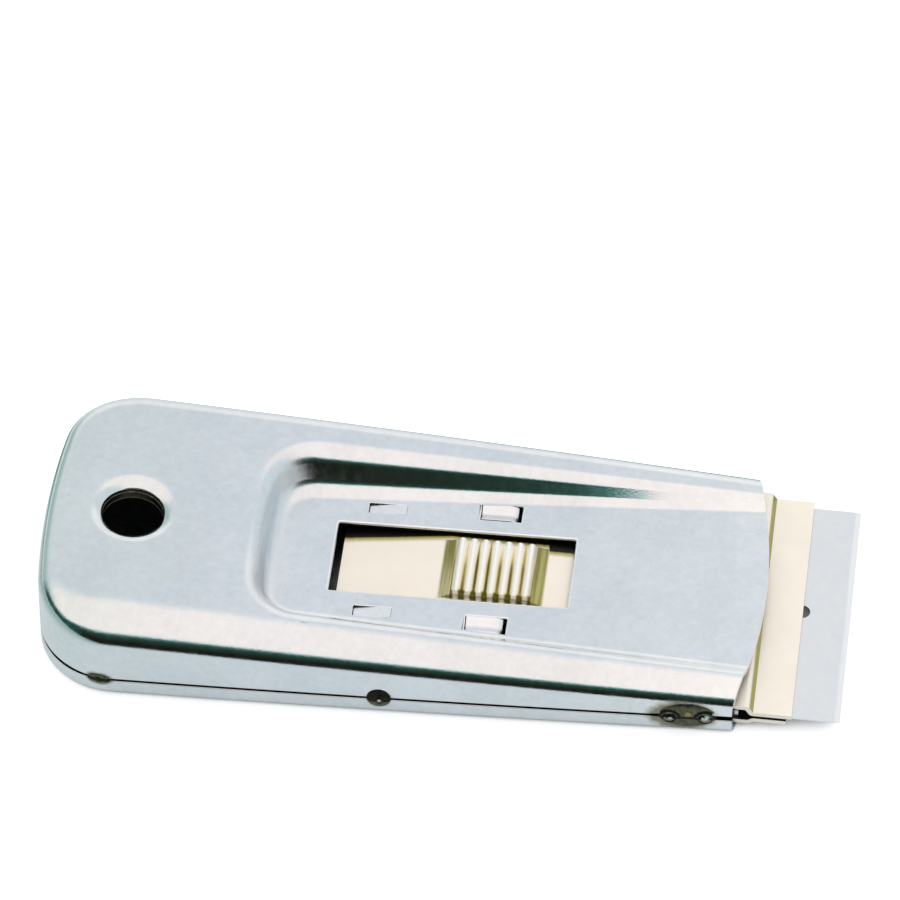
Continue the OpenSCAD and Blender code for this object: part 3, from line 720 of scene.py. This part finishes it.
class Graph:
    """Short calls for the nodes of one material's or world's tree."""

    def __init__(self, tree):
        self.tree = tree
        coords = self.new("TexCoord")
        self.where, self.turned = coords.outputs["Object"], coords.outputs["Normal"]
        self.around = coords.outputs["Generated"]

    def new(self, kind):
        return self.tree.nodes.new("ShaderNode" + kind)

    def put(self, socket, value):
        """Links another socket to this one, or sets its number or colour."""
        if isinstance(value, bpy.types.NodeSocket):
            self.tree.links.new(value, socket)
        else:
            socket.default_value = (*value, 1) if isinstance(value, tuple) else value

    def maths(self, op, *values):
        n = self.new("Math")
        n.operation = op
        for socket, value in zip(n.inputs, values):
            self.put(socket, value)
        return n.outputs[0]

    def times(self, total, *others):
        for value in others:
            total = self.maths("MULTIPLY", total, value)
        return total

    def plus(self, total, *others):
        for value in others:
            total = self.maths("ADD", total, value)
        return total

    def minus(self, a, b):
        return self.maths("SUBTRACT", a, b)

    def size(self, a):
        return self.maths("ABSOLUTE", a)

    def span(self, source, a, b, c=0.0, d=1.0):
        """Lays the source's range a to b over c to d, and holds it beyond them."""
        n = self.new("MapRange")
        for key, value in (("Value", source), ("From Min", a), ("From Max", b), ("To Min", c), ("To Max", d)):
            self.put(n.inputs[key], value)
        return n.outputs["Result"]

    def ramp(self, source, stops):
        n = self.new("ValToRGB")
        while len(n.color_ramp.elements) < len(stops):
            n.color_ramp.elements.new(0.5)
        for e, (at, colour) in zip(n.color_ramp.elements, stops):
            e.position = at
            e.color = (*colour, 1)
        self.put(n.inputs["Fac"], source)
        return n.outputs[0]

    def blend(self, share, a, b, mode="MIX"):
        n = self.new("Mix")
        n.data_type = "RGBA"
        n.blend_type = mode
        for i, value in ((0, share), (6, a), (7, b)):
            self.put(n.inputs[i], value)
        return n.outputs[2]

    def pick(self, share, a, b):
        n = self.new("MixShader")
        for socket, value in zip(n.inputs, (share, a, b)):
            self.put(socket, value)
        return n.outputs[0]

    def noise(self, scale, detail, rough=0.5, stretch=None):
        source = self.where
        if stretch:
            mapping = self.new("Mapping")
            mapping.inputs["Scale"].default_value = stretch
            self.put(mapping.inputs["Vector"], source)
            source = mapping.outputs[0]
        n = self.new("TexNoise")
        for key, value in (("Vector", source), ("Scale", scale), ("Detail", detail), ("Roughness", rough)):
            self.put(n.inputs[key], value)
        return n.outputs["Fac"]

    def xyz(self, source):
        n = self.new("SeparateXYZ")
        self.put(n.inputs[0], source)
        return n.outputs

    def rays(self):
        """Whether a ray comes from the camera, and whether it is a mirrored or refracted one."""
        seen = self.new("LightPath").outputs
        return seen["Is Camera Ray"], self.maths("MAXIMUM", seen["Is Glossy Ray"], seen["Is Transmission Ray"])


def make_material(name, metallic, look):
    """A material from look(graph), which gives colour, roughness, and relief with its strength and height."""
    m = bpy.data.materials.new(name)
    m.use_nodes = True
    g = Graph(m.node_tree)
    shader = m.node_tree.nodes["Principled BSDF"]
    shader.inputs["Metallic"].default_value = metallic
    colour, level, relief, strength, height = look(g)
    g.put(shader.inputs["Base Color"], colour)
    g.put(shader.inputs["Roughness"], level)
    n = g.new("Bump")
    for key, value in (("Height", relief), ("Strength", strength), ("Distance", height)):
        g.put(n.inputs[key], value)
    g.put(shader.inputs["Normal"], n.outputs[0])
    return m


def steel(name, light, dark, rough, grain, streak=0.0, speck=0.8, marks=None):
    """Plated steel: faint mottle, fine tumbled grain, drawing streaks up the walls, tiny bright nicks."""
    def look(g):
        cloud, mottle, fine = g.noise(130, 3), g.noise(900, 4, 0.65), g.noise(4200, 2, 0.6)
        lines = g.noise(2600, 2, 0.6, (1, 0.05, 0.05))
        mixed = g.plus(g.times(cloud, 0.45), g.times(mottle, 0.55))
        colour = g.blend(g.span(mixed, 0.36, 0.62), dark, light)
        colour = g.blend(g.times(g.span(fine, 0.66, 0.74), 0.5), colour, (0.97, 0.98, 0.98))
        level = g.plus(g.span(mottle, 0.3, 0.7, rough - 0.025, rough + 0.03),
                       g.span(lines, 0.3, 0.7, -0.02, 0.02))
        relief = g.plus(g.times(mottle, 0.35), g.times(fine, speck), g.times(lines, streak))
        if marks:
            colour, level = marks(g, colour, level, lines)
        return colour, level, relief, 0.25, grain

    return make_material(name, 1.0, look)


def halos():
    """Centre, reach along and up, and strength of the oxide round each kind of weld."""
    front, middle = seam_frame(FRONT_X - FRONT_WELD)[0], seam_frame(REAR_X + MID_WELD)[0]
    rear = SEAM[REAR_STATION]
    return [
        (front.x - 0.75, -front.y, 2.9, 5.4, 3.0, 1.0),
        (middle.x, -middle.y, 2.8, 2.1, 1.9, 0.6),
        (rear[0], -rear[1], 2.8, 2.3, 1.35, 0.9),
    ]


def shell_marks(g, colour, level, lines):
    """Straw and brown oxide round the seam welds, a slow drift of tone along the handle and a
    duller rear end of the recess, all by place on the object."""
    x, y, z = g.xyz(g.where)
    side = g.size(y)
    wobble = g.times(g.minus(g.noise(900, 3, 0.6), 0.5), 0.5)
    total = None
    for cx, cy, cz, reach, rise, gain in halos():
        far = wobble
        for value, at, size in ((x, cx, reach), (side, cy, reach), (z, cz, rise)):
            off = g.maths("DIVIDE", g.minus(value, at * MM), size * MM)
            far = g.plus(far, g.times(off, off))
        near = g.times(g.span(far, 1.0, 0.55), gain)
        total = near if total is None else g.maths("MAXIMUM", total, near)
    tint = g.blend(total, (0.62, 0.60, 0.42), (0.20, 0.17, 0.10))
    colour = g.blend(g.times(total, 0.85), colour, tint)
    drift = g.ramp(g.span(x, -50 * MM, 50 * MM), [(0.02, (0.86, 0.885, 0.85)), (0.3, (0.915, 0.915, 0.915)),
                                                  (0.72, (0.92, 0.92, 0.915)), (0.95, (1.0, 0.99, 0.965))])
    x0 = RECESS_X * MM
    dull = g.times(g.span(x, x0 - 0.2 * MM, x0 + 2.5 * MM), g.span(x, x0 + 8 * MM, x0 + 4 * MM),
                   g.span(side, RECESS_W / 2 * MM, 13.5 * MM))
    return g.blend(1.0, colour, drift, "MULTIPLY"), g.plus(level, g.times(total, 0.2), g.times(dull, 0.2))


def blade_marks(g, colour, level, lines):
    """The bright honed bevel."""
    edge = g.plus(g.xyz(g.where)[0], g.times(lines, 0.3 * MM))
    end = cad_box[1][0]
    return g.blend(g.span(edge, end - 0.75 * MM, end - 0.4 * MM), colour, (0.99, 0.985, 0.975)), level


def plated(name, light, dark, rough, marks=None):
    """Pale yellow passivated plate, with a soft mottle and fine rolling lines. Where marks is given, it adds
    painted light and shade.
    """
    def look(g):
        mottle, fine = g.noise(220, 4, 0.6), g.noise(3000, 2, 0.6)
        lines = g.noise(1500, 2, 0.5, (1, 0.06, 1))
        colour = g.blend(g.span(mottle, 0.35, 0.65), dark, light)
        if marks:
            colour = marks(g, colour, lines)
        return colour, g.span(mottle, 0.3, 0.7, rough - 0.04, rough + 0.05), g.plus(fine, lines), 0.2, 0.000012

    return make_material(name, 0.5, look)


def holder_painted_shade(inner):
    """Painted olive shade on the front of the step, and painted shade, near black, on the faces inside the holder,
    which look up where inner is 1 and down where it is -1."""
    def marks(g, colour, lines):
        turned = g.xyz(g.turned)
        foot = g.span(g.xyz(g.where)[0], (STEP_X - 0.62) * MM, (STEP_X - 0.42) * MM)
        # Painted olive shade on the faces of the step that look to the front
        colour = g.blend(g.times(g.span(turned[0], 0.12, 0.4), foot), colour, (0.40, 0.36, 0.12))
        # Painted shade on the faces inside the holder
        return g.blend(g.span(turned[2], 0.3 * inner, 0.6 * inner), colour, (0.035, 0.025, 0.015))

    return marks


def grip_light_and_shade(g, colour, lines):
    """Painted light and shade on the grip: pale ridge tops, olive valleys and ramps, and a painted shadow along
    the strip's far edge where it goes under the handle.
    """
    x, y, _ = g.xyz(g.where)
    steps = g.maths("DIVIDE", g.minus(x, (GRIP_X + RAMP_BACK) * MM), PITCH * MM)
    # Painted highlight to painted shade: from 0 on a ridge's top to 1 in a valley, with more shade at the near end
    # and less at the far end
    off = g.times(g.size(g.minus(g.maths("FRACT", steps), 0.5)), 2.0)
    off = g.plus(off, g.span(y, -4.1 * MM, -4.8 * MM, 0.0, 0.4), g.span(y, 0.5 * MM, 4.5 * MM, 0.0, -0.22),
                 g.span(lines, 0.3, 0.7, -0.12, 0.12))
    ridge_light_and_shade = g.ramp(off, [(0.0, (1.0, 0.98, 0.93)), (0.52, (1.0, 0.95, 0.85)), (0.72, (0.93, 0.84, 0.60)),
                       (0.88, (0.50, 0.43, 0.14)), (1.0, (0.17, 0.14, 0.02))])
    on = g.times(g.maths("GREATER_THAN", steps, 0.0), g.maths("LESS_THAN", steps, float(RIDGES)))
    start = (GRIP_X - RAMP_EARLY) * MM
    front = g.times(g.maths("GREATER_THAN", steps, float(RIDGES)),
                    g.span(x, (GRIP_END + 0.1) * MM, (GRIP_END - 0.2) * MM))
    back = g.times(g.maths("LESS_THAN", steps, 0.0), g.span(x, start - 0.1 * MM, start + 0.3 * MM),
                   g.span(lines, 0.38, 0.6, 1.0, 0.8))
    wide = g.maths("LESS_THAN", g.size(y), (GRIP_W / 2 + 0.1) * MM)
    # Painted olive shade on the ramps at both ends of the grip
    ramp_shade = g.blend(g.span(lines, 0.35, 0.65), (0.20, 0.175, 0.02), (0.48, 0.42, 0.13))
    colour = g.blend(g.times(g.maths("MAXIMUM", front, back), wide, 0.95), colour, ramp_shade)
    colour = g.blend(g.times(on, wide), colour, ridge_light_and_shade)
    # Painted shadow where the strip runs under the handle: an olive band, then near black beyond the slot's far
    # edge
    edge = g.maths("MINIMUM", g.span(x, SLOT_X * MM, GRIP_X * MM, 5.0 * MM, 6.1 * MM),
                   g.span(x, (GRIP_END - 0.2) * MM, GRIP_END * MM, 6.1 * MM, 5.0 * MM))
    over = g.minus(g.plus(y, g.times(lines, 0.2 * MM)), edge)
    colour = g.blend(g.span(over, -0.9 * MM, -0.2 * MM), colour, (0.46, 0.40, 0.11))
    return g.blend(g.span(over, -0.1 * MM, 0.1 * MM), colour, (0.006, 0.005, 0.003))


def weld_metal(name, light, dark, rough):
    def look(g):
        scale = g.noise(1500, 4, 0.7)
        middle = tuple((a + b) / 2 for a, b in zip(light, dark))
        colour = g.ramp(scale, [(0.3, dark), (0.55, middle), (0.75, light)])
        return colour, g.span(scale, 0.3, 0.7, rough, rough + 0.25), scale, 0.5, 0.00008

    return make_material(name, 1.0, look)


# In the order of the shells' surface slots
SHELL = [
    steel("shell_zinc_plate", (0.872, 0.900, 0.922), (0.776, 0.816, 0.842), 0.13, 0.000009, 1.3, 4.0, shell_marks),
    # Painted shade: the inner skin, seen inside the handle and under the lances and tabs, is dark
    steel("shell_inside_shade", (0.24, 0.26, 0.25), (0.15, 0.165, 0.16), 0.4, 0.00002),
    steel("sheared_edge", (0.80, 0.83, 0.84), (0.66, 0.70, 0.71), 0.25, 0.00001),
    # Painted highlight on the rolled edges round the floor's slot and windows
    steel("edge_painted_highlight", (0.95, 0.96, 0.97), (0.86, 0.88, 0.90), 0.34, 0.00001),
    steel("shaded_cut", (0.03, 0.036, 0.032), (0.01, 0.014, 0.012), 0.5, 0.00001),
    steel("pressed_lance", (0.86, 0.875, 0.89), (0.80, 0.825, 0.845), 0.28, 0.00001),
    # Painted shade inside the hang hole, on the lip's lowest rows and the collar
    steel("hole_collar_shade", (0.13, 0.115, 0.085), (0.03, 0.028, 0.022), 0.3, 0.00001),
]
CREAM = (1.0, 0.925, 0.80), (0.975, 0.895, 0.765), 0.36
# Both holder plates carry painted shade on the step and on the faces inside the holder
cream = plated("passivated_plate", *CREAM, holder_painted_shade(-1))
cream_low = plated("passivated_plate_low", *CREAM, holder_painted_shade(1))
# The grip's material paints highlight and shade on the ridges, and a shadow along the strip's far edge
cream_grip = plated("passivated_grip", (1.0, 0.915, 0.795), (0.985, 0.893, 0.76), 0.36, grip_light_and_shade)
# Painted olive shade on the strip's cut faces
cream_cut_shade = plated("passivated_edge_shade", (0.42, 0.38, 0.17), (0.28, 0.25, 0.10), 0.4)
blade_ground = steel("ground_blade", (0.90, 0.90, 0.885), (0.865, 0.87, 0.865), 0.18, 0.000005, 0.4,
                     marks=blade_marks)
spine_plain = steel("spine_strip", (0.72, 0.75, 0.77), (0.6, 0.63, 0.65), 0.3, 0.00001)
# In the order of the welds' surface slots
WELD = [
    weld_metal("weld_scale_olive", (0.20, 0.20, 0.13), (0.05, 0.05, 0.03), 0.25),
    weld_metal("weld_scale_dark", (0.035, 0.032, 0.024), (0.008, 0.007, 0.005), 0.3),
    weld_metal("weld_bead_bright", (0.80, 0.86, 0.84), (0.30, 0.40, 0.37), 0.12),
    weld_metal("weld_scale_brown", (0.60, 0.36, 0.12), (0.22, 0.13, 0.05), 0.3),
]

make_top_shell(SHELL)
make_bottom_shell(SHELL)
make_tongue([cream_grip, cream_cut_shade])

FRONT_MARKS = [(0.15, 0.5, 0.0, 0.4, -9, BROWN)]
for at, bead in ((-CRATER_U, 0.34), (CRATER_U, 0.62)):
    FRONT_MARKS += [(at, -0.25, 0.0, 0.95, -9, BURNT), (at, -0.35, 1.15, 1.6, 0.35, BURNT),
                    (at + 0.1, -0.45, 0.0, bead, -9, BEAD)]
MIDDLE_MARKS = [(0.0, 0.45, 0.0, 1.7, -1.0, BURNT), (0.1, -0.2, 0.0, 0.24, -9, BEAD)]
REAR_MARKS = [(0.0, 0.0, 0.0, 0.5, -9, BURNT)]
WELDS = [
    ("front", seam_frame(FRONT_X - FRONT_WELD), 3.9, 2.15, front_height, 0.2, FRONT_MARKS, 0.2),
    ("middle", seam_frame(REAR_X + MID_WELD), 1.7, 1.7, middle_height, 0.1, MIDDLE_MARKS, 0.3),
    ("rear", corner_frame(SEAM[REAR_STATION]), 1.6, 0.95, rear_height, 0.0, REAR_MARKS, 0.3),
]
for side, hand in ((1, "right"), (-1, "left")):
    for kind, *values in WELDS:
        make_weld(f"weld_{kind}_{hand}", f"{kind}_weld_{hand}", side, *values)

for name, material in (("holder_top_plate", cream), ("holder_bottom_plate", cream_low),
                       ("holder_spot_weld_left", cream), ("holder_spot_weld_right", cream),
                       ("blade", blade_ground), ("blade_spine", spine_plain)):
    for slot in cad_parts[name].material_slots:
        slot.material = material

# ---------------------------------------------------------------- stage


def make_stage():
    """White floor with a faint shadow. In reflections it is pale on the near side, with a painted teal shadow on
    the far and left sides, and painted dark by ambient occlusion close under the object."""
    mesh = bpy.data.meshes.new("floor")
    size, z = 2.5, -0.0002
    mesh.from_pydata([(-size, -size, z), (size, -size, z), (size, size, z), (-size, size, z)], [], [(0, 1, 2, 3)])
    obj = bpy.data.objects.new("floor", mesh)
    bpy.context.scene.collection.objects.link(obj)
    m = bpy.data.materials.new("floor_white")
    m.use_nodes = True
    m.node_tree.nodes.clear()
    g = Graph(m.node_tree)
    x, y, _ = g.xyz(g.where)
    shade = g.new("AmbientOcclusion")
    shade.samples = 6
    shade.inputs["Distance"].default_value = 0.012
    open_sky = shade.outputs["AO"]
    # Painted shadow seen in reflections: teal beyond the far side and towards the left
    away = g.blend(g.span(y, 0.036, 0.052), (0.20, 0.36, 0.33), (0.86, 0.87, 0.89))
    colour = g.blend(g.span(x, -0.05, -0.09), (0.73, 0.79, 0.82), (0.40, 0.54, 0.52))
    colour = g.blend(g.maths("GREATER_THAN", y, 0.02), colour, away)
    mirrored, glow, diffuse, add = g.new("Emission"), g.new("Emission"), g.new("BsdfDiffuse"), g.new("AddShader")
    g.put(mirrored.inputs["Color"], g.blend(g.span(open_sky, 0.15, 0.6), (0.004, 0.005, 0.004), colour))
    # Painted shade from ambient occlusion: the floor turns black where it lies deep under the object
    deep = g.span(open_sky, 0.08, 0.3)
    camera, shiny = g.rays()
    g.put(diffuse.inputs["Color"], g.blend(deep, (0.01, 0.01, 0.01), (0.80, 0.81, 0.82)))
    g.put(glow.inputs["Strength"], g.times(camera, 0.62, deep))
    g.put(add.inputs[0], diffuse.outputs[0])
    g.put(add.inputs[1], glow.outputs[0])
    g.put(g.new("OutputMaterial").inputs["Surface"], g.pick(shiny, add.outputs[0], mirrored.outputs[0]))
    mesh.materials.append(m)


# Angle from straight up towards the near side, and the studio's colour there
STUDIO = [
    (-90, (0.95, 0.96, 0.98)), (-80, (1.0, 1.0, 1.0)), (-66, (1.06, 1.04, 1.04)), (-56, (0.98, 0.985, 0.995)),
    (-50, (0.82, 0.85, 0.89)), (-43, (0.80, 0.835, 0.88)), (-36, (0.82, 0.85, 0.89)), (-27, (0.97, 0.97, 0.97)),
    (-22, (1.14, 1.05, 1.01)), (48, (1.14, 1.05, 1.01)), (49.5, (0.30, 0.62, 0.62)), (52, (0.04, 0.20, 0.17)),
    (57, (0.018, 0.055, 0.04)), (66, (0.014, 0.034, 0.024)), (74, (0.008, 0.009, 0.004)),
    (90, (0.008, 0.008, 0.003)),
]
STUDIO_GAIN = 1.15


def studio_colour(rgb):
    return tuple(c / STUDIO_GAIN for c in rgb)


def make_world():
    """White for the camera. For reflections a white dome with a pale blue far side and one dark
    flag on the near side, which gives bright metal its dark band."""
    world = bpy.data.worlds.new("studio")
    bpy.context.scene.world = world
    world.use_nodes = True
    world.node_tree.nodes.clear()
    g = Graph(world.node_tree)

    def background(colour, strength):
        n = g.new("Background")
        g.put(n.inputs["Color"], colour)
        n.inputs["Strength"].default_value = strength
        return n.outputs[0]

    x, y, z = g.xyz(g.around)
    lean = g.times(g.maths("ARCTAN2", g.times(y, -1.0), z), 180 / math.pi)
    first, wide = -90, 200
    colour = g.ramp(g.span(lean, first, first + wide),
                    [((at - first) / wide, studio_colour(rgb)) for at, rgb in STUDIO])
    # A teal wall on the left, with a dark foot towards the near side
    teal = g.times(g.span(z, 0.62, 0.30), g.span(x, -0.35, -0.6), g.span(y, -0.05, 0.15))
    colour = g.blend(teal, colour, studio_colour((0.44, 0.60, 0.58)))
    foot = g.times(g.span(z, 0.40, 0.24), g.span(y, 0.45, 0.18), g.span(x, -0.55, -0.8))
    colour = g.blend(foot, colour, (0.012, 0.07, 0.065))
    # The flag ends towards the right
    colour = g.blend(g.span(x, 0.45, 0.62), colour, (0.66, 0.72, 0.75))
    camera, shiny = g.rays()
    light = g.pick(shiny, background((0.95, 0.97, 1.0), 0.68), background(colour, STUDIO_GAIN))
    g.put(g.new("OutputWorld").inputs["Surface"], g.pick(camera, light, background((1.0, 1.0, 1.0), 1.0)))


def make_light(name, place, size, power):
    """A square lamp that looks at the object's middle."""
    light = bpy.data.lights.new(name, "AREA")
    light.shape = "SQUARE"
    light.size = size
    light.energy = power
    obj = bpy.data.objects.new(name, light)
    obj.location = place
    obj.rotation_euler = (-Vector(place)).to_track_quat("-Z", "Y").to_euler()
    bpy.context.scene.collection.objects.link(obj)
    obj.visible_glossy = False


def make_camera():
    """The view fitted to the photograph: height, turn and roll in degrees, and the place in millimetres."""
    e, a, roll = math.radians(47.0), math.radians(7.17), math.radians(-0.92)
    aside, above, away, nudge = 5.29, 19.29, 1006.2, 0.6
    back = Vector((math.sin(a) * math.cos(e), -math.cos(a) * math.cos(e), math.sin(e)))
    right = Vector((math.cos(a), math.sin(a), 0))
    up = back.cross(right)
    r = right * math.cos(roll) + up * math.sin(roll)
    u = -right * math.sin(roll) + up * math.cos(roll)
    place = (r * aside + u * above + back * away + Vector((nudge, 0, 0))) * MM
    data = bpy.data.cameras.new("camera")
    data.sensor_width = 36
    data.lens = 296
    data.clip_start, data.clip_end = 0.05, 20
    obj = bpy.data.objects.new("camera", data)
    obj.matrix_world = Matrix(((r.x, u.x, back.x, place.x), (r.y, u.y, back.y, place.y),
                               (r.z, u.z, back.z, place.z), (0, 0, 0, 1)))
    bpy.context.scene.collection.objects.link(obj)
    bpy.context.scene.camera = obj


make_stage()
make_world()
make_light("key", (0.25, 0.35, 0.8), 0.5, 3.2)
make_camera()
bpy.context.scene.view_settings.view_transform = "Standard"
